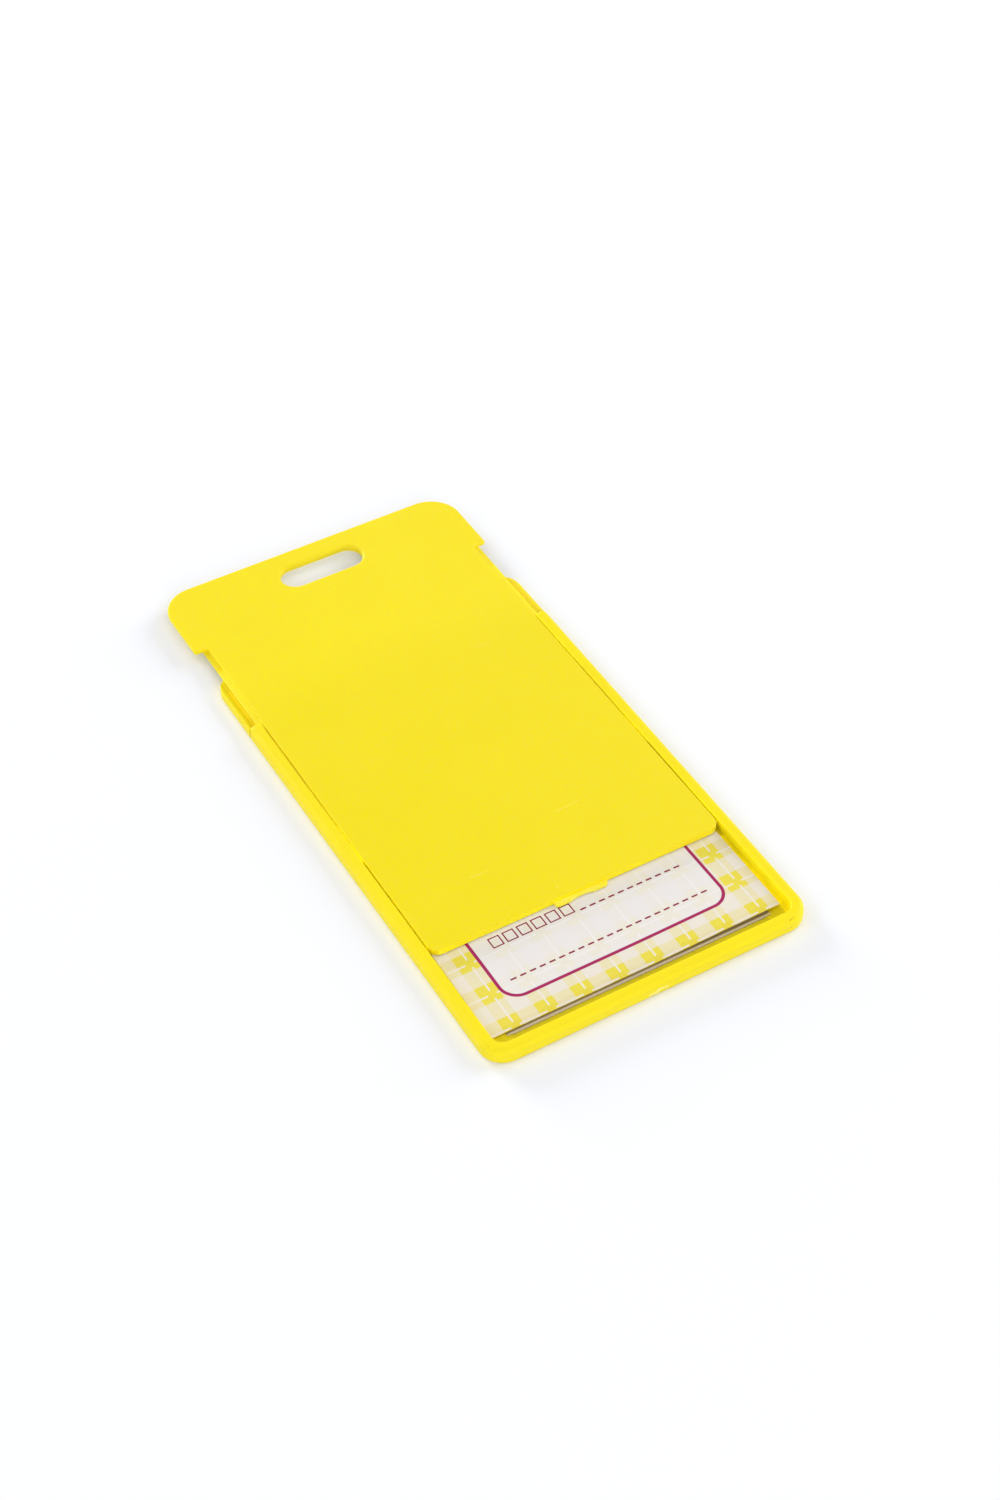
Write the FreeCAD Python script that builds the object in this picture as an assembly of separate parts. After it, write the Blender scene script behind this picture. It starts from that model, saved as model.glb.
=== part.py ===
import FreeCAD, Part
import os
from math import sin, tan

os.makedirs("parts", exist_ok=True)

Vector = FreeCAD.Vector

# Luggage tag: a shallow tray with a window in its floor, a clear film and an address card lying in
# it, and a sliding cover whose rails run in grooves under the tray's lips. The cover stands partly
# open. X runs across the tag, +Y runs along it from the tray's closed end to the strap slot, and
# +Z is up. The origin is under the middle of the tag, on the surface that it lies on.
# Lengths are in millimetres.

# --- Address card, standing off the closed end and a little to the left ---
card_width = 54.0
card_length = 85.6
card_thickness = 0.3
card_side_gap = 0.83
card_closed_gap = 3.04
card_open_gap = 0.32
card_shift = -0.2
card_lift = 0.05

# --- Clear film under the card ---
film_thickness = 0.2
film_side_gap = 0.83
film_end_gap = 0.3
film_corner_radius = 1.6

# --- Tray ---
floor_thickness = 0.6
rim_width = 2.17
rim_top_round = 1.0
rim_inner_round = 0.2
pocket_corner_radius = 2.0
pocket_far_radius = 0.5
open_left_radius = 4.5
open_right_radius = 6.3
foot_round = 0.5
ledge_side = 3.1
ledge_closed_end = 2.3
ledge_open_end = 3.0
window_corner_radius = 1.6

# --- Sliding cover: the plate, and under it the layer that carries the rails ---
cover_card_gap = 0.55
plate_thickness = 0.6
cover_open = 21.2
cover_end_gap = 0.21
cover_side_gap = 0.3
cover_edge_round = 0.22
head_length = 16.5
head_overhang = 2.05
head_corner_radius = 6.1
shoulder_fillet = 0.6
shoulder_corner_extra = 0.25

# --- Rails of the cover, grooves of the tray ---
rail_reach = 0.94
rail_thickness = 0.65
rail_chamfer = 0.5
rail_setback = 23.55
rail_corner_radius = 0.4
rail_side_gap = 0.3
rail_height_gap = 0.1
groove_lead = 0.4

# --- Open end of the tray, past the lips ---
lip_start_gap = 0.7
lip_corner_round = 0.6
low_wall_drop = 0.3
low_wall_edge = 0.3
low_wall_round = 0.2
landing_gap = 0.2

# --- Strap slot in the head, a little to the right, and the notch under it in the tray ---
slot_length = 16.4
slot_width = 5.75
slot_far_bar = 3.95
slot_shift = 0.45
slot_edge_round = 0.6
notch_bar = 0.9
notch_side_gap = 0.75
notch_end_gap = 0.5
notch_corner_radius = 2.5

# --- Latch tab on the cover's end, and its recess in the end wall ---
tab_width = 10.0
tab_reach = 1.0
tab_corner_radius = 0.7
tab_dip_depth = 0.35
tab_dip_width = 3.4
tab_slope = 1.7
tab_side_gap = 0.3
tab_end_gap = 0.25
recess_wall = 1.0

# --- Modelling aids: how far cutting tools reach past the part, and how near counts as equal ---
margin = 5.0
touch = 1e-4
edge_samples = 5

# --- Heights ---
card_bottom = floor_thickness + film_thickness + card_lift
cover_bottom = card_bottom + card_thickness + cover_card_gap
rail_top = cover_bottom + rail_thickness
rim_height = rail_top + plate_thickness
shelf_top = cover_bottom - rail_height_gap
groove_top = rail_top + rail_height_gap
low_wall_top = rail_top - low_wall_drop
landing_top = cover_bottom - landing_gap

# --- Half widths ---
pocket_half = card_width / 2 + card_side_gap
half_width = pocket_half + rim_width
film_half = pocket_half - film_side_gap
window_half = pocket_half - ledge_side
plate_half = pocket_half - cover_side_gap
rail_half = plate_half + rail_reach
groove_half = rail_half + rail_side_gap
tab_half = tab_width / 2
notch_half = slot_length / 2 + notch_side_gap

# --- Places along the tag, from the tray's closed end ---
end_wall = recess_wall + tab_end_gap + tab_reach - cover_end_gap
card_start = end_wall + card_closed_gap
pocket_end = card_start + card_length + card_open_gap
notch_start = pocket_end + notch_bar
slot_near = notch_start + notch_end_gap + cover_open
cover_start = end_wall + cover_end_gap + cover_open
cover_end = slot_near + slot_width + slot_far_bar
tray_length = cover_end - cover_open - head_overhang
shoulder = cover_end - head_length
lips_end = shoulder - cover_open - lip_start_gap
rail_start = cover_start + rail_setback
groove_start = rail_start - cover_open - groove_lead
middle = cover_end / 2

# --- Radii that follow from others ---
closed_corner_radius = pocket_corner_radius + rim_width
shoulder_corner_radius = cover_edge_round + shoulder_corner_extra


def box(x0, x1, y0, y1, z0, z1):
    return Part.makeBox(x1 - x0, y1 - y0, z1 - z0, Vector(x0, y0, z0))


def rectangle(half, y0, y1, shift=0):
    return [(shift - half, y0), (shift + half, y0), (shift + half, y1), (shift - half, y1)]


def outline(points, radii):
    """Closed flat face through the points, with each corner rounded by its own radius."""
    count = len(points)
    entries = []
    exits = []
    crowns = []
    for i in range(count):
        here = Vector(*points[i], 0)
        before = (Vector(*points[i - 1], 0) - here).normalize()
        after = (Vector(*points[(i + 1) % count], 0) - here).normalize()
        half_angle = before.getAngle(after) / 2
        setback = radii[i] / tan(half_angle)
        crown_depth = radii[i] / sin(half_angle) - radii[i]
        entries.append(here + before * setback)
        exits.append(here + after * setback)
        crowns.append(here + (before + after).normalize() * crown_depth)
    edges = []
    for i in range(count):
        if radii[i] > 0:
            edges.append(Part.Arc(entries[i], crowns[i], exits[i]).toShape())
        following = entries[(i + 1) % count]
        if exits[i].distanceToPoint(following) > touch:
            edges.append(Part.LineSegment(exits[i], following).toShape())
    return Part.Face(Part.Wire(edges))


def slab(points, radii, z0, z1):
    """Flat plate with rounded corners between two heights."""
    face = outline(points, radii)
    face.translate(Vector(0, 0, z0))
    return face.extrude(Vector(0, 0, z1 - z0))


def mirrored_slab(right_points, right_radii, z0, z1):
    """Plate whose left side mirrors the right side that is given."""
    left_points = [(-x, y) for x, y in reversed(right_points)]
    return slab(right_points + left_points, right_radii + right_radii[::-1], z0, z1)


def at_height(z):
    return lambda point: abs(point.z - z) < touch


def rounded(shape, radius, test):
    """The shape with a fillet on every edge whose sampled points all pass the test."""
    chosen = []
    for edge in shape.Edges:
        if all(test(point) for point in edge.discretize(edge_samples)):
            chosen.append(edge)
    return shape.makeFillet(radius, chosen)


def make_tray():
    far = tray_length + margin
    above = rim_height + margin
    square_end = [0, 0]
    pocket_corners = [pocket_corner_radius] * 2
    pocket_radii = pocket_corners + [pocket_far_radius] * 2
    closed_corners = [closed_corner_radius] * 2
    run = slab(rectangle(pocket_half, end_wall, far + margin), pocket_corners + square_end,
               landing_top, above)
    plan = rectangle(half_width, 0, tray_length)
    plan_radii = closed_corners + [open_right_radius, open_left_radius]

    tray = make_lipped_walls(run, closed_corners + square_end)
    tray = tray.fuse(make_low_walls(run, plan, plan_radii)).removeSplitter()
    tray = tray.common(rounded(slab(plan, plan_radii, 0, above), foot_round, at_height(0)))

    pocket = rectangle(pocket_half, end_wall, pocket_end)
    tray = tray.cut(slab(pocket, pocket_radii, floor_thickness, above))
    tray = tray.cut(box(-groove_half, groove_half, groove_start, far, shelf_top, groove_top))

    window = rectangle(window_half, end_wall + ledge_closed_end, pocket_end - ledge_open_end)
    tray = tray.cut(slab(window, [window_corner_radius] * 4, -margin, above))

    recess_half = tab_half + tab_side_gap
    recess = box(-recess_half, recess_half, recess_wall, end_wall + margin, shelf_top, groove_top)
    tray = tray.cut(recess)

    notch = rectangle(notch_half, notch_start, far, slot_shift)
    notch_radii = [notch_corner_radius] * 2 + square_end
    return tray.cut(slab(notch, notch_radii, -margin, above))


def make_lipped_walls(run, radii):
    """Full-height part of the tray, from the closed end to where the lips stop."""
    far = tray_length + margin
    above = rim_height + margin
    wide = half_width + margin

    def top_outside(point):
        return at_height(rim_height)(point) and point.y < far - touch

    def top_inside(point):
        inside = abs(point.x) < pocket_half + touch and point.y > end_wall - touch
        return inside and top_outside(point)

    def lip_corner(point):
        at_side = abs(abs(point.x) - pocket_half) < touch
        return at_side and abs(point.y - lips_end) < touch

    walls = slab(rectangle(half_width, 0, far), radii, 0, rim_height)
    walls = rounded(walls, rim_top_round, top_outside)
    walls = rounded(walls.cut(run), rim_inner_round, top_inside)
    walls = walls.cut(box(-wide, wide, lips_end, far + margin, -margin, above))
    return rounded(walls, lip_corner_round, lip_corner)


def make_low_walls(run, plan, radii):
    """Low part of the tray past the lips: the landing, the shelves and the low outer walls."""
    far = tray_length + margin
    above = rim_height + margin
    wide = half_width + margin
    low = rounded(slab(plan, radii, 0, low_wall_top), low_wall_round, at_height(low_wall_top))
    low = low.cut(run)
    low = low.cut(box(-groove_half, groove_half, lips_end, far, shelf_top, above))
    for side in (-1, 1):
        low = low.cut(lead_in_wedge(side, far, above))
    return low.cut(box(-wide, wide, -margin, lips_end, -margin, above))


def lead_in_wedge(side, far, above):
    """Wedge that slopes the low wall's top down towards the rail."""
    ridge = half_width - low_wall_edge
    profile = [(groove_half, shelf_top), (ridge, low_wall_top), (ridge, above), (groove_half, above)]
    corners = [Vector(side * x, lips_end, z) for x, z in profile]
    face = Part.Face(Part.makePolygon(corners + corners[:1]))
    return face.extrude(Vector(0, far - lips_end, 0))


def make_cover():
    right_side = [
        (plate_half, cover_start),
        (plate_half, shoulder),
        (half_width, shoulder),
        (half_width, cover_end),
    ]
    right_radii = [pocket_corner_radius, shoulder_fillet, shoulder_corner_radius, head_corner_radius]
    plate = mirrored_slab(right_side, right_radii, rail_top, rim_height)
    plate = rounded(plate, cover_edge_round, at_height(rim_height))

    tongue_radii = [pocket_corner_radius] * 2 + [0, 0]
    tongue = slab(rectangle(plate_half, cover_start, shoulder), tongue_radii, cover_bottom, rail_top)
    cover = plate.fuse([tongue, make_rails(), make_tab()]).removeSplitter()

    slot = rectangle(slot_length / 2, slot_near, slot_near + slot_width, slot_shift)
    cover = cover.cut(slab(slot, [slot_width / 2] * 4, -margin, rim_height + margin))

    def slot_edge(point):
        beside = abs(point.x - slot_shift) < slot_length / 2 + touch
        along = slot_near - touch < point.y < slot_near + slot_width + touch
        return beside and along and at_height(rim_height)(point)

    return rounded(cover, slot_edge_round, slot_edge)


def make_rails():
    """Layer under the plate that carries both rails and ends flush with the head's round corners."""
    front = rectangle(rail_half, rail_start, cover_end + margin)
    front_radii = [rail_corner_radius] * 2 + [0, 0]
    layer = slab(front, front_radii, cover_bottom, rail_top)
    back = rectangle(half_width, cover_start - margin, cover_end)
    back_radii = [0, 0] + [head_corner_radius] * 2
    layer = layer.common(slab(back, back_radii, cover_bottom, rail_top))
    for side in (-1, 1):
        layer = layer.cut(rail_wedge(side))
    return layer


def rail_wedge(side):
    """Wedge that takes the lower outer edge off a rail."""
    inner = rail_half - rail_chamfer
    outer = rail_half + margin
    profile = [(inner, cover_bottom), (outer, cover_bottom + rail_chamfer + margin), (outer, cover_bottom)]
    corners = [Vector(side * x, rail_start - margin, z) for x, z in profile]
    face = Part.Face(Part.makePolygon(corners + corners[:1]))
    return face.extrude(Vector(0, cover_end + 2 * margin - rail_start, 0))


def make_tab():
    """Two-lobed latch tab with a shallow dip in its middle."""
    root = cover_start + cover_edge_round
    tip = cover_start - tab_reach
    dip = tip + tab_dip_depth
    dip_half = (tab_dip_width - tab_slope) / 2
    right_side = [
        (dip_half, dip),
        (dip_half + tab_slope, tip),
        (tab_half, tip),
        (tab_half, root),
    ]
    right_radii = [tab_dip_depth, tab_dip_depth, tab_corner_radius, 0]
    return mirrored_slab(right_side, right_radii, cover_bottom, rail_top)


def make_film():
    plan = rectangle(film_half, end_wall + film_end_gap, pocket_end - film_end_gap)
    film_top = floor_thickness + film_thickness
    return slab(plan, [film_corner_radius] * 4, floor_thickness, film_top)


def make_card():
    left = card_shift - card_width / 2
    right = card_shift + card_width / 2
    card_top = card_bottom + card_thickness
    return box(left, right, card_start, card_start + card_length, card_bottom, card_top)


pieces = {
    "tray": make_tray(),
    "sliding_cover": make_cover(),
    "window_film": make_film(),
    "address_card": make_card(),
}

for name, shape in pieces.items():
    shape.translate(Vector(0, -middle, 0))
    print(name, "solids", len(shape.Solids), "valid", shape.isValid(),
          "volume", round(shape.Volume, 1), "box", shape.optimalBoundingBox())
    shape.exportStep("parts/" + name + ".step")
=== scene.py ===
import math

import bmesh
import bpy
from mathutils import Matrix, Vector


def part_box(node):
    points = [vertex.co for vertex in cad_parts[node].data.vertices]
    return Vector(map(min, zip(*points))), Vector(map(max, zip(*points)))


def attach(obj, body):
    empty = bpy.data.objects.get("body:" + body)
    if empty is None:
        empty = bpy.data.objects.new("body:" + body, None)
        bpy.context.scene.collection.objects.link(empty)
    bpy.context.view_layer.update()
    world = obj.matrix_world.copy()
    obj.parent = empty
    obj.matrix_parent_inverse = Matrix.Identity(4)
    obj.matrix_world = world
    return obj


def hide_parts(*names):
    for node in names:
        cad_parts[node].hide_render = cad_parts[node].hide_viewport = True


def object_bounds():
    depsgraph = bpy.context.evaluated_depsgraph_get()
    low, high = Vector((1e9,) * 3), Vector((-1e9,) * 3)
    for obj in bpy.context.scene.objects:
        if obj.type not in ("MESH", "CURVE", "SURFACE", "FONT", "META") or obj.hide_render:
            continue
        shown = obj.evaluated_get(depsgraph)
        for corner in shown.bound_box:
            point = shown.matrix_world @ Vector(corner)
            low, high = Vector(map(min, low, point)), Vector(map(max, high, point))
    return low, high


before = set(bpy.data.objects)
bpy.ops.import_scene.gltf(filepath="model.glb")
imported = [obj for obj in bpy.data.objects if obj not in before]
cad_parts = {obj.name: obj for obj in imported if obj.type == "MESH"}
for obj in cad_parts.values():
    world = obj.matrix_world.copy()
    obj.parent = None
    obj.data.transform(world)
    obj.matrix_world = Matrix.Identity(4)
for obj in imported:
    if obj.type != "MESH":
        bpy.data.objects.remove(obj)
cad_low, cad_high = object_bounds()
tray_low, tray_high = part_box("tray")
cover_low, cover_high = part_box("sliding_cover")
card_low, card_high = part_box("address_card")

# Lengths are in metres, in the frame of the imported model: X across the tag, Y along it from the
# closed end to the strap slot, Z up. MM turns millimetres into metres.
MM = 0.001

# --- Camera and picture ---
CAMERA_PLACE = Vector((-0.14614, -0.27246, 0.31104))
CAMERA_AIM = Vector((0.00539, -0.00281, 0.0015))
CAMERA_ROLL = math.radians(-1.007)
CAMERA_LENS = 60.79
CAMERA_SENSOR = 36.0
CAMERA_CLIP = (0.01, 20.0)

# --- Light ---
# Each softbox has its azimuth and elevation in degrees, its distance and side in metres, and its
# share of the light.
WORLD_COLOUR = (1.0, 1.0, 1.0)
WORLD_STRENGTH = 0.40
SOFTBOXES = [
    ("overhead", -90.0, 85.0, 1.2, 1.0, 0.15),
    ("left", -90.0, 30.0, 1.0, 0.7, 0.11),
    ("right", 90.0, 23.0, 1.0, 0.7, 0.24),
    ("back", -13.0, 12.5, 1.2, 0.5, 0.17),
    ("front", 190.0, 25.0, 1.2, 0.8, 0.19),
]
# Light that reaches the card in its tray, where 1 would show a colour just as it is.
LIGHT_LEVEL = 1.10

# --- Floor ---
FLOOR_HALF = 3.0
FLOOR_COLOUR = (0.87, 0.88, 0.92)

# --- Noise patterns: scale per metre, detail and roughness ---
CLOUD_NOISE = (60.0, 2.0, 0.5)
GRAIN_NOISE = (2600.0, 3.0, 0.6)
WORN_NOISE = (1500.0, 2.0, 0.6)
RUBBED_AND_HIGHLIGHT_NOISE = (500.0, 2.0, 0.5)
FILM_NOISE = (900.0, 2.0, 0.5)
FIBRE_NOISE = (3000.0, 4.0, 0.6)

# --- Yellow plastic, as 8-bit display colours ---
TRAY_YELLOW = (241, 222, 14)
# Painted light: the head colours are lighter than the near colours, for the stronger light that falls on
# the head.
COVER_NEAR_LEFT = (235, 216, 0)
COVER_NEAR_RIGHT = (235, 216, 22)
COVER_HEAD_LEFT = (240, 221, 4)
COVER_HEAD_RIGHT = (240, 221, 30)
# Painted light: brighter yellow where light comes through the cover and bounces between the parts.
EDGE_GLOW_YELLOW = (254, 236, 0)
# Painted sheen on the cover's rails where they come out of the tray.
RAIL_SHEEN_YELLOW = (250, 236, 50)
# Painted light: the head's underside is pale so that it throws whiter light on the floor seen through the
# strap slot.
HEAD_BOUNCE_PALE = (250, 246, 215)
CLOUD_YELLOW = (238, 218, 20)
GRAIN_YELLOW = (226, 208, 90)
PALE_MARK = (250, 240, 150)
DARK_MARK = (205, 180, 30)

# --- Places on the cover where its colour changes. Each fade starts at its place. ---
COVER_HALF = 27.0 * MM
COVER_FADE = (18 * MM, 36 * MM)
SHARP_FADE = 0.02 * MM
EDGE_PLACE = cover_low.y + 1.1 * MM
EDGE_TOP = cover_high.z - 0.2 * MM
EDGE_FADE = 0.1 * MM
RAIL_ACROSS = 27.46 * MM
RAIL_TOP = cover_high.z - 0.47 * MM
UNDERSIDE = cover_low.z + 0.02 * MM
HEAD_START = tray_high.y
HEAD_FADE = 1.0 * MM
TAB_END = cover_low.y + 0.5 * MM
TAB_FADE = 0.4 * MM

# --- Gaps between the cover and the tray, in linear colours ---
# Light bounces many times between their yellow walls, and the renderer stops after a few bounces.
# Colours above 1 stand in for the light that it leaves out.
GAP_YELLOW = (1.50, 1.24, 0.0, 1.0)
# Along the cover's sides, that colour ends before the part that comes out of the tray.
GAP_FADE = (-12.0 * MM, 1.0 * MM)
# Painted light of the same kind on walls inside the tray: colours, each with its place across, along and in
# height (millimetres).
INNER_BOUNCE_YELLOWS = [
    ((1.08, 0.89, 0.0, 1.0), (24.0, 28.9), (-59.6, -38.5), (0.55, 2.9)),
    ((1.20, 0.98, 0.0, 1.0), (27.6, 28.9), (-56.0, -38.5), (0.9, 2.86)),
    ((1.42, 1.12, 0.0, 1.0), (26.85, 28.9), (-56.0, -38.5), (0.55, 1.25)),
    ((1.42, 1.18, 0.0, 1.0), (27.6, 28.9), (-38.5, 23.2), (0.9, 2.86)),
    ((1.05, 0.80, 0.0, 1.0), (27.3, 29.2), (23.2, 34.0), (0.9, 2.0)),
]
INNER_FADE = 0.03 * MM
INNER_FADE_ALONG = 0.05 * MM

# --- Finish of the yellow plastic ---
# How far the grain changes the colour, and how strong its relief is.
TRAY_GRAIN = (0.09, 0.06)
COVER_GRAIN = (0.18, 0.15)
GRAIN_DEPTH = 0.02 * MM
CLOUD_SHARE = 0.5
MARK_RELIEF = 0.3
MARK_DEPTH = 0.05 * MM
PLASTIC_ROUGHNESS = (0.42, 0.52)
PLASTIC_SHINE = 0.18
GLOW_SHARE = 0.3
GLOW_DEPTH = 0.6 * MM
GLOW_SPREAD = (1.0, 0.9, 0.1)

# --- Wear, as lines between two points with a radius (millimetres) ---
COVER_TOP = cover_high.z / MM
COVER_SCRATCHES = [
    ((5.4, -21.5, COVER_TOP), (10.3, -21.2, COVER_TOP), 0.06),
    ((-14.2, -27.1, COVER_TOP), (-11.2, -27.4, COVER_TOP), 0.05),
    ((-14.0, -32.2, COVER_TOP), (-13.9, -32.1, COVER_TOP), 0.10),
    ((-3.2, -36.3, COVER_TOP), (-3.1, -36.2, COVER_TOP), 0.10),
    ((14.0, 21.0, COVER_TOP), (16.5, 20.2, COVER_TOP), 0.05),
]
NEAR_WALL = tray_low.y / MM
GATE_SCRATCHES = [
    ((-1.2, NEAR_WALL, 0.75), (0.3, NEAR_WALL, 0.85), 0.16),
    ((0.2, NEAR_WALL, 1.25), (1.9, NEAR_WALL, 1.05), 0.16),
]
TRAY_SCUFFS = [
    ((24.7, NEAR_WALL + 0.25, 2.7), (26.7, NEAR_WALL + 0.55, 2.7), 0.10),
    ((24.6, NEAR_WALL + 0.05, 1.2), (25.6, NEAR_WALL + 0.05, 1.3), 0.12),
    ((-9.1, NEAR_WALL, 0.65), (-9.0, NEAR_WALL, 0.70), 0.12),
    ((-27.95, -0.1, 2.9), (-27.95, 0.1, 2.9), 0.09),
]
# Range of the worn noise over which each kind of mark breaks up, and how far it tints.
SCRATCH_BREAKS = (0.35, 0.50)
GATE_BREAKS = (0.38, 0.48)
SCUFF_BREAKS = (0.42, 0.52)
SCRATCH_SHARE = 0.4
SCUFF_SHARE = 0.6
RUBBED_AND_HIGHLIGHT_SHARE = (0.1, 0.4)

# --- Window under the film ---
WINDOW_ACROSS = (-24.73 * MM, 24.73 * MM)
WINDOW_ALONG = (-57.31 * MM, 26.35 * MM)
FILM_FADE = 0.05 * MM
CARD_SHADE = (card_low.y - 0.33 * MM, card_low.y + 0.17 * MM)
CARD_SHADE_FADE = 0.15 * MM
# Painted shade: a dark film colour at a low alpha darkens the ledge under the film.
FILM_LEDGE_SHADE = (0.02, 0.02, 0.01, 1.0)
# Painted light over the window: a warm tan that stands for the table in shade under it, lit by the yellow
# frame.
FILM_WINDOW_LIGHT = (0.92, 0.77, 0.56, 1.0)
FILM_SHADE = (0.30, 0.22, 0.09, 1.0)
LEDGE_SHADE_ALPHA = 0.08
WINDOW_LIGHT_ALPHA = 0.5
SHADE_ALPHA = 0.2
FILM_ROUGHNESS = (0.10, 0.18)

# --- Card: it bows up towards the cover, and its right corner at the closed end curls up ---
CARD_CELL = 1.0 * MM
BOW_HEIGHT = 0.42 * MM
BOW_START = 16 * MM
BOW_END = 25 * MM
BOW_SIDE = 14 * MM
BOW_SIDE_DROP = 0.25
CURL_HEIGHT = 0.4 * MM
CURL_START_ACROSS = 27 * MM
CURL_REACH_ACROSS = 25 * MM
CURL_REACH_ALONG = 16 * MM
PRESSED_EDGE = 0.15 * MM

# --- Card print, in millimetres from the card's left edge and from its free end ---
PRINT_SKEW = 0.009
CHECK_PITCH = (6.61, 7.14)
CHECK_START = (2.33, -1.15)
CHECK_WIDTH = (3.47, 3.70)
STITCH_PLACE = (2.13, 1.40)
STITCH_WIDTH = 0.3
STITCH_GAP = (1.58, 1.66)
PANEL_LEFT = 6.05
PANEL_RIGHT = 47.87
PANEL_MARGIN_ALONG = 4.90
PANEL_CORNER = 3.2
PANEL_LINE = 0.58
PANEL_COVER = 0.84
ROW_START = 8.42
ROW_PITCH = 6.85
ROW_COUNT = 10
ROW_LINE = 0.33
DASH_PITCH = 1.8
DASH_LENGTH = 1.12
LONG_ROW = (8.35, 45.65)
SHORT_ROW = (25.5, 44.75)
BOX_START = 9.3
BOX_PITCH = 2.65
BOX_COUNT = 6
BOX_WIDTH = 2.1
BOX_HEIGHT = 2.25
BOX_LINE = 0.24
INK_EDGE = 0.04

# --- Card colours, as 8-bit display colours ---
PRINT_WHITE = (238, 231, 219)
CHECK_YELLOWS = ((237, 227, 188), (237, 226, 184))
CROSSING_YELLOW = (238, 222, 78)
STITCH_WHITE = (240, 234, 228)
PANEL_WHITE = (237, 233, 233)
PANEL_STITCH_WHITE = (246, 244, 243)
PANEL_STITCH_SHARE = 0.5
FRAME_PINK = (170, 34, 96)
ROW_RED = (143, 24, 60)
BACK_WHITE = (236, 232, 228)
FIBRE_GREY = (120, 110, 90)
FIBRE_SHARE = 0.03
FIBRE_RELIEF = 0.1
FIBRE_DEPTH = 0.01 * MM


# ---------------------------------------------------------------------------------------------
# Node materials
# ---------------------------------------------------------------------------------------------

class Nodes:
    """A node material under construction, with short calls for the nodes that it uses."""

    def __init__(self, name):
        self.material = bpy.data.materials.new(name)
        self.material.use_nodes = True
        self.tree = self.material.node_tree
        self.shader = self.tree.nodes["Principled BSDF"]
        self.place = self.tree.nodes.new("ShaderNodeTexCoord").outputs["Object"]

    def link(self, value, socket):
        """Feeds a socket with another node's output, or sets it to a plain value."""
        if isinstance(value, bpy.types.NodeSocket):
            self.tree.links.new(value, socket)
        else:
            socket.default_value = value

    def math(self, operation, *values):
        node = self.tree.nodes.new("ShaderNodeMath")
        node.operation = operation
        for value, socket in zip(values, node.inputs):
            self.link(value, socket)
        return node.outputs[0]

    def vector(self, operation, *values):
        """Vector maths: a vector, or a number where the operation measures one."""
        node = self.tree.nodes.new("ShaderNodeVectorMath")
        node.operation = operation
        for value, socket in zip(values, node.inputs):
            self.link(value, socket)
        return node.outputs["Value" if operation in ("DOT_PRODUCT", "DISTANCE") else "Vector"]

    def noise(self, scale, detail, roughness):
        node = self.tree.nodes.new("ShaderNodeTexNoise")
        self.link(self.place, node.inputs["Vector"])
        node.inputs["Scale"].default_value = scale
        node.inputs["Detail"].default_value = detail
        node.inputs["Roughness"].default_value = roughness
        return node.outputs["Fac"]

    def ramp(self, value, low, high, start=0.0, end=1.0):
        """Maps low..high to start..end smoothly, and stays level outside."""
        node = self.tree.nodes.new("ShaderNodeMapRange")
        node.interpolation_type = "SMOOTHSTEP"
        for name, number in (("Value", value), ("From Min", low), ("From Max", high),
                             ("To Min", start), ("To Max", end)):
            self.link(number, node.inputs[name])
        return node.outputs["Result"]

    def above(self, value, place, fade):
        """0 up to the place and 1 from the fade's length past it."""
        return self.ramp(value, place, place + fade)

    def below(self, value, place, fade):
        """1 up to the place and 0 from the fade's length past it."""
        return self.ramp(value, place, place + fade, 1.0, 0.0)

    def band(self, value, low, high, edge=INK_EDGE):
        """1 between low and high and 0 outside, with soft edges."""
        half = (high - low) / 2
        off_middle = self.math("ABSOLUTE", self.math("SUBTRACT", value, (low + high) / 2))
        return self.ramp(off_middle, half - edge, half + edge, 1.0, 0.0)

    def both(self, first, second):
        return self.math("MULTIPLY", first, second)

    def outside(self, mask):
        return self.math("SUBTRACT", 1.0, mask)

    def mix(self, share, first, second):
        """Colour mix. The share may be a number or an output, and the colours too."""
        node = self.tree.nodes.new("ShaderNodeMix")
        node.data_type = "RGBA"
        self.link(share, node.inputs["Factor"])
        for value, name in ((first, "A"), (second, "B")):
            socket = next(s for s in node.inputs if s.name == name and s.type == "RGBA")
            self.link(value, socket)
        return next(s for s in node.outputs if s.type == "RGBA")

    def axes(self):
        node = self.tree.nodes.new("ShaderNodeSeparateXYZ")
        self.link(self.place, node.inputs[0])
        return node.outputs["X"], node.outputs["Y"], node.outputs["Z"]

    def near_line(self, start, end, radius):
        """1 within the radius of a line between two points in millimetres, fading to 0 at twice it."""
        start, end = Vector(start) * MM, Vector(end) * MM
        run = end - start
        towards = run / run.length_squared
        share = self.math("SUBTRACT", self.vector("DOT_PRODUCT", self.place, towards), towards.dot(start))
        share = self.math("MINIMUM", self.math("MAXIMUM", share, 0.0), 1.0)
        nearest = self.vector("MULTIPLY_ADD", share, run, start)
        distance = self.vector("DISTANCE", self.place, nearest)
        return self.ramp(distance, radius * MM, 2 * radius * MM, 1.0, 0.0)

    def near_lines(self, lines):
        mask = self.near_line(*lines[0])
        for line in lines[1:]:
            mask = self.math("MAXIMUM", mask, self.near_line(*line))
        return mask

    def bump(self, height, strength, distance, normal=None):
        node = self.tree.nodes.new("ShaderNodeBump")
        self.link(height, node.inputs["Height"])
        node.inputs["Strength"].default_value = strength
        node.inputs["Distance"].default_value = distance
        if normal is not None:
            self.link(normal, node.inputs["Normal"])
        return node.outputs["Normal"]

    def put(self, **values):
        """Sets the shader's sockets, whose names are written with underscores."""
        for name, value in values.items():
            self.link(value, self.shader.inputs[name.replace("_", " ")])


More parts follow.
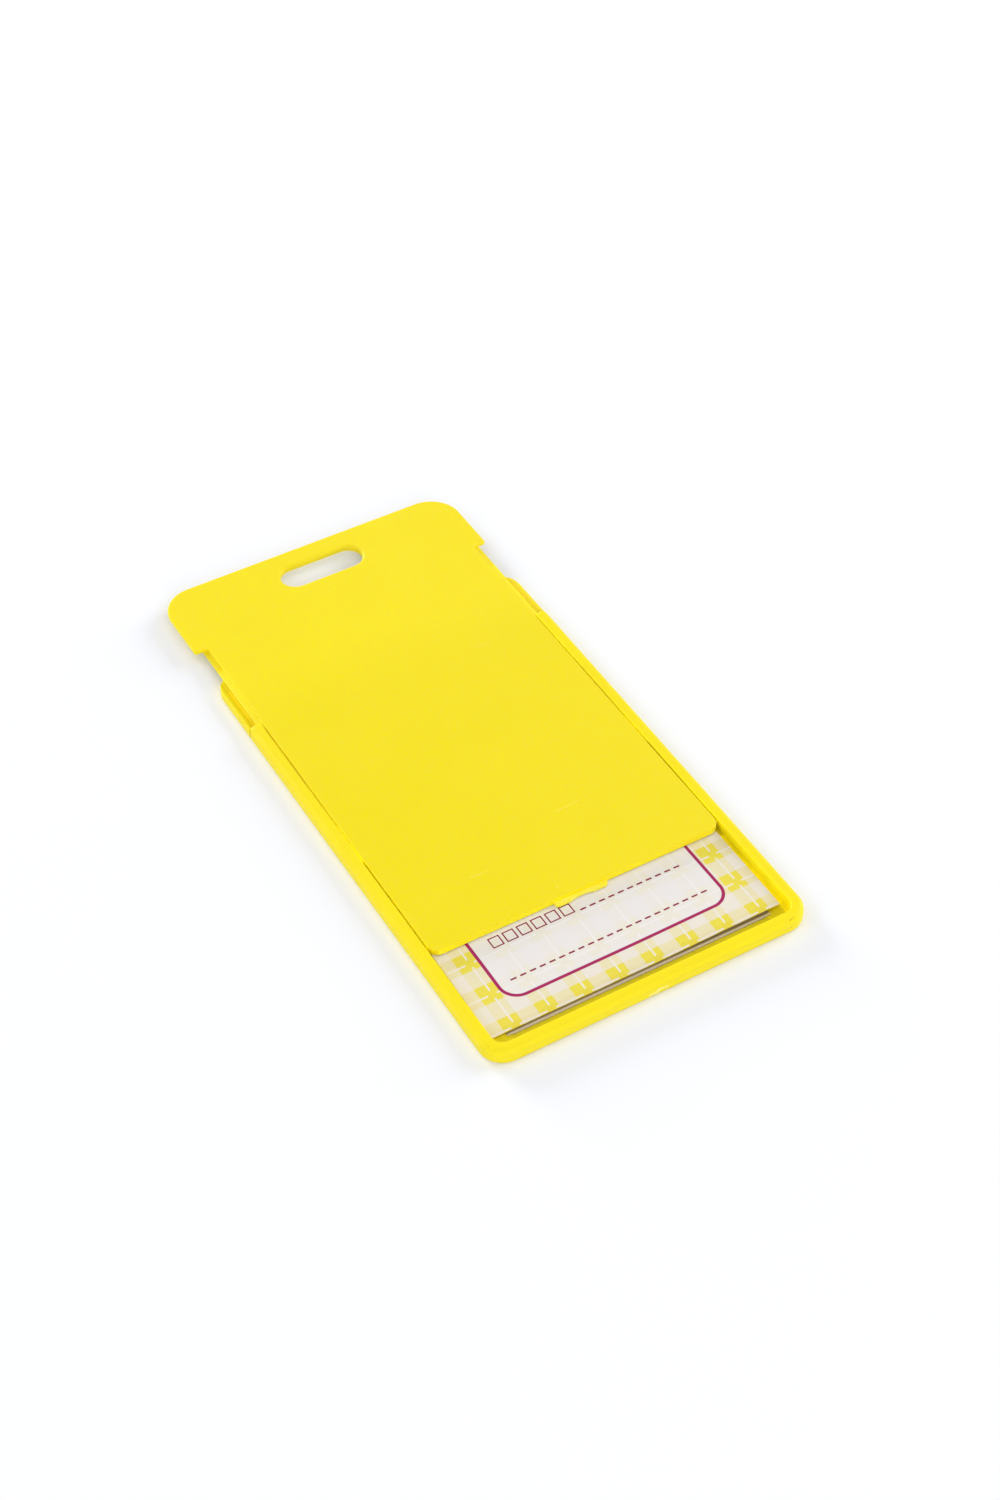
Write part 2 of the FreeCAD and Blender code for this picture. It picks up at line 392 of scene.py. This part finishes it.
def srgb(red, green, blue):
    """Linear colour with alpha 1 of an 8-bit display colour."""
    linear = []
    for part in (red, green, blue):
        share = part / 255
        linear.append(share / 12.92 if share <= 0.04045 else ((share + 0.055) / 1.055) ** 2.4)
    return (*linear, 1.0)


def paint(red, green, blue):
    """Surface colour that shows as this 8-bit display colour where the studio light is full."""
    return (*(part / LIGHT_LEVEL for part in srgb(red, green, blue)[:3]), 1.0)


def in_box(nodes, across, along, heights):
    """1 in a box on the left and its mirror image on the right, given by three ranges."""
    x, y, z = nodes.axes()
    mask = nodes.band(nodes.math("ABSOLUTE", x), across[0] * MM, across[1] * MM, INNER_FADE)
    mask = nodes.both(mask, nodes.band(y, along[0] * MM, along[1] * MM, INNER_FADE_ALONG))
    return nodes.both(mask, nodes.band(z, heights[0] * MM, heights[1] * MM, INNER_FADE))


def tray_plastic():
    """The tray is evenly yellow outside, scratched at the middle of its near wall and scuffed, with painted
    light on its inner walls.
    """
    nodes = Nodes("tray_plastic")
    worn = nodes.noise(*WORN_NOISE)
    scuffs = nodes.both(nodes.near_lines(TRAY_SCUFFS), nodes.ramp(worn, *SCUFF_BREAKS))
    gate = nodes.both(nodes.near_lines(GATE_SCRATCHES), nodes.ramp(worn, *GATE_BREAKS))
    colour = nodes.mix(nodes.both(scuffs, SCUFF_SHARE), srgb(*TRAY_YELLOW), srgb(*DARK_MARK))
    colour = nodes.mix(gate, colour, srgb(*PALE_MARK))
    # Painted light on the tray's inner walls.
    for inner_bounce, across, along, heights in INNER_BOUNCE_YELLOWS:
        colour = nodes.mix(in_box(nodes, across, along, heights), colour, inner_bounce)
    return yellow_plastic(nodes, colour, nodes.math("SUBTRACT", gate, scuffs), *TRAY_GRAIN)


def cover_colour(nodes):
    """The cover is painted a little darker in the middle than at its head, as painted light for the
    stronger light at the head, and it is paler towards the right.

    Its edge at the closed end, its sides between the tray's walls and its underside are painted brighter,
    as painted light that comes through the plastic and bounces onto the card. The head's underside is
    painted pale for whiter bounced light, and the rails low down carry a painted sheen.
    """
    x, y, z = nodes.axes()
    right = nodes.ramp(x, -COVER_HALF, COVER_HALF)
    near_yellow = nodes.mix(right, srgb(*COVER_NEAR_LEFT), srgb(*COVER_NEAR_RIGHT))
    head_yellow = nodes.mix(right, srgb(*COVER_HEAD_LEFT), srgb(*COVER_HEAD_RIGHT))
    colour = nodes.mix(nodes.ramp(y, *COVER_FADE), near_yellow, head_yellow)

    sides = nodes.above(nodes.math("ABSOLUTE", x), RAIL_ACROSS, SHARP_FADE)
    sides = nodes.both(sides, nodes.below(y, HEAD_START, HEAD_FADE))
    under_rim = nodes.below(z, EDGE_TOP, EDGE_FADE)
    edge = nodes.math("MAXIMUM", sides, nodes.below(y, EDGE_PLACE, EDGE_FADE))
    underside = nodes.below(z, UNDERSIDE, SHARP_FADE)
    # Painted light on the cover's edge, its sides in the gaps and its underside.
    glow_faces = nodes.math("MAXIMUM", nodes.both(edge, under_rim), underside)
    colour = nodes.mix(glow_faces, colour, srgb(*EDGE_GLOW_YELLOW))

    # Painted light: the pale head underside brightens the floor under the strap slot.
    head_underside = nodes.both(underside, nodes.above(y, HEAD_START, HEAD_FADE))
    colour = nodes.mix(head_underside, colour, srgb(*HEAD_BOUNCE_PALE))
    # Painted sheen on the rails low down.
    rail_sheen = nodes.both(sides, nodes.below(z, RAIL_TOP, SHARP_FADE))
    colour = nodes.mix(rail_sheen, colour, srgb(*RAIL_SHEEN_YELLOW))
    gap = nodes.both(nodes.both(sides, under_rim), nodes.ramp(y, *GAP_FADE, 1.0, 0.0))
    return nodes.mix(gap, colour, GAP_YELLOW)


def cover_plastic():
    """The cover has a few scratches on its face, and its tab is pale in patches, partly worn by rubbing and
    partly a painted highlight.
    """
    nodes = Nodes("cover_plastic")
    worn = nodes.noise(*WORN_NOISE)
    scratches = nodes.both(nodes.near_lines(COVER_SCRATCHES), nodes.ramp(worn, *SCRATCH_BREAKS))
    tab = nodes.below(nodes.axes()[1], TAB_END, TAB_FADE)
    # The tab's pale patches: wear from rubbing, and a painted highlight.
    rubbed_and_highlight = nodes.both(tab, nodes.ramp(nodes.noise(*RUBBED_AND_HIGHLIGHT_NOISE), 0.35, 0.65, *RUBBED_AND_HIGHLIGHT_SHARE))
    pale = nodes.math("MAXIMUM", nodes.both(scratches, SCRATCH_SHARE), rubbed_and_highlight)
    colour = nodes.mix(pale, cover_colour(nodes), srgb(*PALE_MARK))
    return yellow_plastic(nodes, colour, nodes.both(scratches, -1.0), *COVER_GRAIN)


def yellow_plastic(nodes, colour, marks, speckle, relief):
    """Finishes a moulded satin plastic that lets some light through, over its colour and marks."""
    cloud = nodes.ramp(nodes.noise(*CLOUD_NOISE), 0.35, 0.65, 0.0, CLOUD_SHARE)
    colour = nodes.mix(cloud, colour, srgb(*CLOUD_YELLOW))
    grain = nodes.noise(*GRAIN_NOISE)
    colour = nodes.mix(nodes.ramp(grain, 0.35, 0.65, 0.0, speckle), colour, srgb(*GRAIN_YELLOW))
    nodes.put(Base_Color=colour)
    nodes.put(Roughness=nodes.ramp(grain, 0.2, 0.8, *PLASTIC_ROUGHNESS))
    grained = nodes.bump(grain, relief, GRAIN_DEPTH)
    nodes.put(Normal=nodes.bump(marks, MARK_RELIEF, MARK_DEPTH, grained))
    nodes.put(Specular_IOR_Level=PLASTIC_SHINE)
    nodes.put(Subsurface_Weight=GLOW_SHARE, Subsurface_Scale=GLOW_DEPTH)
    nodes.put(Subsurface_Radius=GLOW_SPREAD)
    return nodes.material


def clear_film():
    """A faint painted shade over the ledge, painted light over the window that stands for the table in
    shade seen through it, and a painted shadow beside the card.
    """
    nodes = Nodes("clear_film")
    x, y, _ = nodes.axes()
    across = nodes.band(x, *WINDOW_ACROSS, FILM_FADE)
    window = nodes.both(across, nodes.band(y, *WINDOW_ALONG, FILM_FADE))
    shade = nodes.both(window, nodes.band(y, *CARD_SHADE, CARD_SHADE_FADE))
    # Painted shade over the ledge and painted light over the window.
    colour = nodes.mix(window, FILM_LEDGE_SHADE, FILM_WINDOW_LIGHT)
    nodes.put(Base_Color=nodes.mix(shade, colour, FILM_SHADE))
    alpha = nodes.ramp(window, 0.0, 1.0, LEDGE_SHADE_ALPHA, WINDOW_LIGHT_ALPHA)
    nodes.put(Alpha=nodes.math("MULTIPLY_ADD", shade, SHADE_ALPHA, alpha))
    nodes.put(Roughness=nodes.ramp(nodes.noise(*FILM_NOISE), 0.3, 0.7, *FILM_ROUGHNESS))
    return nodes.material


def paper(nodes, colour):
    """Finishes a paper material: fine fibres over its colour."""
    fibre = nodes.noise(*FIBRE_NOISE)
    share = nodes.ramp(fibre, 0.3, 0.7, 0.0, FIBRE_SHARE)
    nodes.put(Base_Color=nodes.mix(share, colour, srgb(*FIBRE_GREY)))
    nodes.put(Normal=nodes.bump(fibre, FIBRE_RELIEF, FIBRE_DEPTH))
    nodes.put(Roughness=0.6, Specular_IOR_Level=0.2)
    return nodes.material


def printed_card():
    """Gingham with broken white stitch lines, a framed panel, dashed rows and blank boxes."""
    nodes = Nodes("printed_card")
    x, y, _ = nodes.axes()
    along = nodes.math("MULTIPLY_ADD", y, 1 / MM, -card_low.y / MM)
    across = nodes.math("MULTIPLY_ADD", x, 1 / MM, -card_low.x / MM)
    across = nodes.math("MULTIPLY_ADD", along, PRINT_SKEW, across)

    bands, stitch = gingham(nodes, across, along)
    colour = nodes.mix(bands[0], paint(*PRINT_WHITE), paint(*CHECK_YELLOWS[0]))
    colour = nodes.mix(bands[1], colour, paint(*CHECK_YELLOWS[1]))
    colour = nodes.mix(nodes.both(*bands), colour, paint(*CROSSING_YELLOW))
    colour = nodes.mix(stitch, colour, paint(*STITCH_WHITE))

    off_panel = panel_distance(nodes, across, along, (card_high.y - card_low.y) / MM)
    inside = nodes.ramp(off_panel, -INK_EDGE, INK_EDGE, PANEL_COVER, 0.0)
    colour = nodes.mix(inside, colour, paint(*PANEL_WHITE))
    panel_stitch = nodes.both(nodes.both(stitch, inside), PANEL_STITCH_SHARE)
    colour = nodes.mix(panel_stitch, colour, paint(*PANEL_STITCH_WHITE))
    frame_line = nodes.band(off_panel, -PANEL_LINE / 2, PANEL_LINE / 2)
    colour = nodes.mix(frame_line, colour, paint(*FRAME_PINK))
    colour = nodes.mix(row_marks(nodes, across, along), colour, paint(*ROW_RED))
    return paper(nodes, colour)


def gingham(nodes, across, along):
    """Masks of the checks' two sets of bands, and of the stitch lines on them."""
    cells = []
    for place, start, pitch in zip((across, along), CHECK_START, CHECK_PITCH):
        cells.append(nodes.math("FLOORED_MODULO", nodes.math("SUBTRACT", place, start), pitch))
    bands = [nodes.band(cell, 0.0, width) for cell, width in zip(cells, CHECK_WIDTH)]
    lines = []
    gaps = []
    for cell, middle, gap in zip(cells, STITCH_PLACE, STITCH_GAP):
        lines.append(nodes.band(cell, middle - STITCH_WIDTH / 2, middle + STITCH_WIDTH / 2))
        gaps.append(nodes.band(cell, middle - gap / 2, middle + gap / 2))
    first = nodes.both(lines[0], nodes.outside(gaps[1]))
    second = nodes.both(lines[1], nodes.outside(gaps[0]))
    return bands, nodes.math("MAXIMUM", first, second)


def panel_distance(nodes, across, along, card_length):
    """Distance outwards from the middle of the panel's frame line, negative inside it."""
    ends = ((PANEL_LEFT, PANEL_RIGHT), (PANEL_MARGIN_ALONG, card_length - PANEL_MARGIN_ALONG))
    past = []
    for place, (low, high) in zip((across, along), ends):
        off_middle = nodes.math("ABSOLUTE", nodes.math("SUBTRACT", place, (low + high) / 2))
        past.append(nodes.math("SUBTRACT", off_middle, (high - low) / 2 - PANEL_CORNER))
    beyond = [nodes.math("POWER", nodes.math("MAXIMUM", value, 0.0), 2.0) for value in past]
    corner = nodes.math("SQRT", nodes.math("ADD", *beyond))
    side = nodes.math("MINIMUM", nodes.math("MAXIMUM", *past), 0.0)
    return nodes.math("SUBTRACT", nodes.math("ADD", corner, side), PANEL_CORNER)


def row_marks(nodes, across, along):
    """Dashed rows to write on. Every second row is shorter and starts with blank boxes."""
    from_first = nodes.math("SUBTRACT", along, ROW_START)
    in_rows = nodes.band(from_first, -ROW_PITCH / 2, (ROW_COUNT - 0.5) * ROW_PITCH)
    shifted = nodes.math("ADD", from_first, ROW_PITCH / 2)
    height = nodes.math("SUBTRACT", nodes.math("FLOORED_MODULO", shifted, ROW_PITCH), ROW_PITCH / 2)
    number = nodes.math("FLOOR", nodes.math("DIVIDE", shifted, ROW_PITCH))
    short = nodes.math("FLOORED_MODULO", number, 2.0)

    start = nodes.math("MULTIPLY_ADD", short, SHORT_ROW[0] - LONG_ROW[0], LONG_ROW[0])
    cell = nodes.math("FLOORED_MODULO", nodes.math("SUBTRACT", across, start), DASH_PITCH)
    dashes = nodes.both(nodes.band(cell, 0.0, DASH_LENGTH), nodes.band(height, -ROW_LINE / 2, ROW_LINE / 2))
    long_row = nodes.both(nodes.outside(short), nodes.band(across, *LONG_ROW))
    short_row = nodes.both(short, nodes.band(across, *SHORT_ROW))
    dashes = nodes.both(dashes, nodes.math("ADD", long_row, short_row))

    boxes = nodes.both(blank_boxes(nodes, across, height), short)
    return nodes.both(in_rows, nodes.math("MAXIMUM", dashes, boxes))


def blank_boxes(nodes, across, height):
    """Outlines of a row's small boxes, which stand on the row's line."""
    in_boxes = nodes.band(across, BOX_START, BOX_START + BOX_PITCH * BOX_COUNT)
    cell = nodes.math("FLOORED_MODULO", nodes.math("SUBTRACT", across, BOX_START), BOX_PITCH)
    outer = nodes.both(nodes.band(cell, 0.0, BOX_WIDTH), nodes.band(height, 0.0, BOX_HEIGHT))
    hole_across = nodes.band(cell, BOX_LINE, BOX_WIDTH - BOX_LINE)
    hole = nodes.both(hole_across, nodes.band(height, BOX_LINE, BOX_HEIGHT - BOX_LINE))
    return nodes.both(nodes.both(outer, nodes.outside(hole)), in_boxes)


def card_back():
    return paper(Nodes("card_back"), paint(*BACK_WHITE))


# ---------------------------------------------------------------------------------------------
# Stage
# ---------------------------------------------------------------------------------------------

def floor():
    mesh = bpy.data.meshes.new("floor")
    corners = [(-FLOOR_HALF, -FLOOR_HALF), (FLOOR_HALF, -FLOOR_HALF),
               (FLOOR_HALF, FLOOR_HALF), (-FLOOR_HALF, FLOOR_HALF)]
    mesh.from_pydata([(x, y, cad_low.z) for x, y in corners], [], [(0, 1, 2, 3)])
    piece = bpy.data.objects.new("floor", mesh)
    bpy.context.scene.collection.objects.link(piece)
    nodes = Nodes("floor")
    nodes.put(Base_Color=(*FLOOR_COLOUR, 1.0), Roughness=0.9, Specular_IOR_Level=0.1)
    mesh.materials.append(nodes.material)


def softbox(name, azimuth, elevation, distance, size, share):
    """Square area light that faces the tag. Azimuth 0 is beyond the strap slot and 90 to the right.

    The share is about what the light adds to the brightness of a white surface that lies flat.
    """
    side, height = math.radians(azimuth), math.radians(elevation)
    towards = Vector((math.sin(side) * math.cos(height), math.cos(side) * math.cos(height),
                      math.sin(height)))
    data = bpy.data.lights.new(name, "AREA")
    data.shape = "SQUARE"
    data.size = size
    data.energy = share * (math.pi * distance) ** 2 / math.sin(height)
    light = bpy.data.objects.new(name, data)
    bpy.context.scene.collection.objects.link(light)
    light.location = towards * distance
    light.rotation_euler = towards.to_track_quat("Z", "Y").to_euler()


def studio():
    world = bpy.data.worlds.new("studio")
    bpy.context.scene.world = world
    world.use_nodes = True
    background = world.node_tree.nodes["Background"]
    background.inputs["Color"].default_value = (*WORLD_COLOUR, 1.0)
    background.inputs["Strength"].default_value = WORLD_STRENGTH
    for name, azimuth, elevation, distance, size, share in SOFTBOXES:
        softbox(name, azimuth, elevation, distance, size, share)
    bpy.context.scene.view_settings.view_transform = "Standard"


def camera():
    data = bpy.data.cameras.new("camera")
    data.lens = CAMERA_LENS
    data.sensor_width = CAMERA_SENSOR
    data.clip_start, data.clip_end = CAMERA_CLIP
    piece = bpy.data.objects.new("camera", data)
    bpy.context.scene.collection.objects.link(piece)
    level = (CAMERA_AIM - CAMERA_PLACE).to_track_quat("-Z", "Y").to_matrix().to_4x4()
    roll = Matrix.Rotation(CAMERA_ROLL, 4, "Z")
    piece.matrix_world = Matrix.Translation(CAMERA_PLACE) @ level @ roll
    bpy.context.scene.camera = piece


# ---------------------------------------------------------------------------------------------
# Pieces
# ---------------------------------------------------------------------------------------------

def dress(node, material):
    """Gives a CAD node its material."""
    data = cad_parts[node].data
    data.materials.clear()
    data.materials.append(material)


def eased(value):
    """Smooth step from 0 to 1, level outside."""
    value = min(max(value, 0.0), 1.0)
    return value * value * (3 - 2 * value)


def rise(x, y):
    """Rise of the card at a place above where it would lie flat."""
    bow = BOW_HEIGHT * eased((y - card_low.y) / BOW_START) * eased((card_high.y - y) / BOW_END)
    from_side = min(x - card_low.x, card_high.x - x)
    bow *= 1 - BOW_SIDE_DROP * (1 - eased(from_side / BOW_SIDE))
    corner = eased((x - card_low.x - CURL_START_ACROSS) / CURL_REACH_ACROSS)
    return bow + CURL_HEIGHT * corner * (1 - eased((y - card_low.y) / CURL_REACH_ALONG))


def card_layer(build, columns, rows, height, pressed):
    """Row after row of points on one face of the card. The row at its free end is pressed down."""
    layer = []
    for j in range(rows + 1):
        y = card_low.y + (card_high.y - card_low.y) * j / rows
        level = height - (pressed if j == 0 else 0.0)
        for i in range(columns + 1):
            x = card_low.x + (card_high.x - card_low.x) * i / columns
            layer.append(build.verts.new((x, y, level + rise(x, y))))
    return layer


def card_border(columns, rows):
    """Places in a layer of the points round its border, in order."""
    width = columns + 1
    border = [i for i in range(columns)]
    border += [j * width + columns for j in range(rows)]
    border += [rows * width + columns - i for i in range(columns)]
    border += [(rows - j) * width for j in range(rows)]
    return border


def fill_card(mesh):
    """Builds the card, with the mesh's first material on top and round the edge, its second below."""
    columns = round((card_high.x - card_low.x) / CARD_CELL)
    rows = round((card_high.y - card_low.y) / CARD_CELL)
    width = columns + 1
    build = bmesh.new()
    bottom = card_layer(build, columns, rows, card_low.z, 0.0)
    top = card_layer(build, columns, rows, card_high.z, PRESSED_EDGE)
    for j in range(rows):
        for i in range(columns):
            corners = (j * width + i, j * width + i + 1, (j + 1) * width + i + 1, (j + 1) * width + i)
            build.faces.new([top[k] for k in corners]).material_index = 0
            build.faces.new([bottom[k] for k in reversed(corners)]).material_index = 1
    border = card_border(columns, rows)
    for first, second in zip(border, border[1:] + border[:1]):
        side = build.faces.new([bottom[first], bottom[second], top[second], top[first]])
        side.material_index = 0
    for face in build.faces:
        face.smooth = abs(face.normal.z) > 0.5
    build.to_mesh(mesh)
    build.free()


def make_card():
    """The bowed and curled card, which takes the place of the flat solid."""
    mesh = bpy.data.meshes.new("card")
    mesh.materials.append(printed_card())
    mesh.materials.append(card_back())
    fill_card(mesh)
    piece = bpy.data.objects.new("card", mesh)
    bpy.context.scene.collection.objects.link(piece)
    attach(piece, "card")
    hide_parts("address_card")


camera()
floor()
studio()

dress("tray", tray_plastic())
dress("sliding_cover", cover_plastic())
dress("window_film", clear_film())
make_card()
